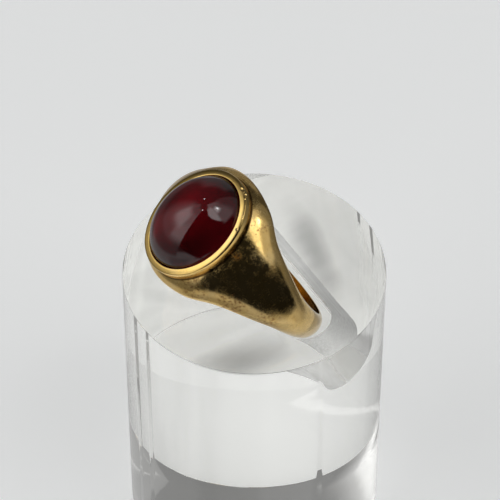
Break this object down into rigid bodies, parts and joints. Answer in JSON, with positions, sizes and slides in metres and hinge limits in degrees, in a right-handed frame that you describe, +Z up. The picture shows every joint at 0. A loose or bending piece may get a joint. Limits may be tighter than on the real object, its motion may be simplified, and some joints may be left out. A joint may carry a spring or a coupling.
{
  "type": "cabochon ring on display stand",
  "caption": "Finger ring with tapering shoulders and an oval domed stone in a plain bezel, leaning in the slot of a clear cylindrical display stand.",
  "frame": {"origin": "centre of the stand's base", "axes": "+Z up, +X along the stand's slot, ring leaning towards -Y with its stone on top"},
  "size_m": [0.03, 0.03, 0.0572],
  "materials": {
    "gold": "worn polish with brown tarnish in the hollows",
    "garnet": "polished dome, deep red",
    "clear_acrylic": "polished outside, matt milled slot"
  },
  "bodies": {
    "root": {"gold_ring": "gold", "cabochon": "garnet", "display_stand": "clear_acrylic"}
  },
  "joints": []
}
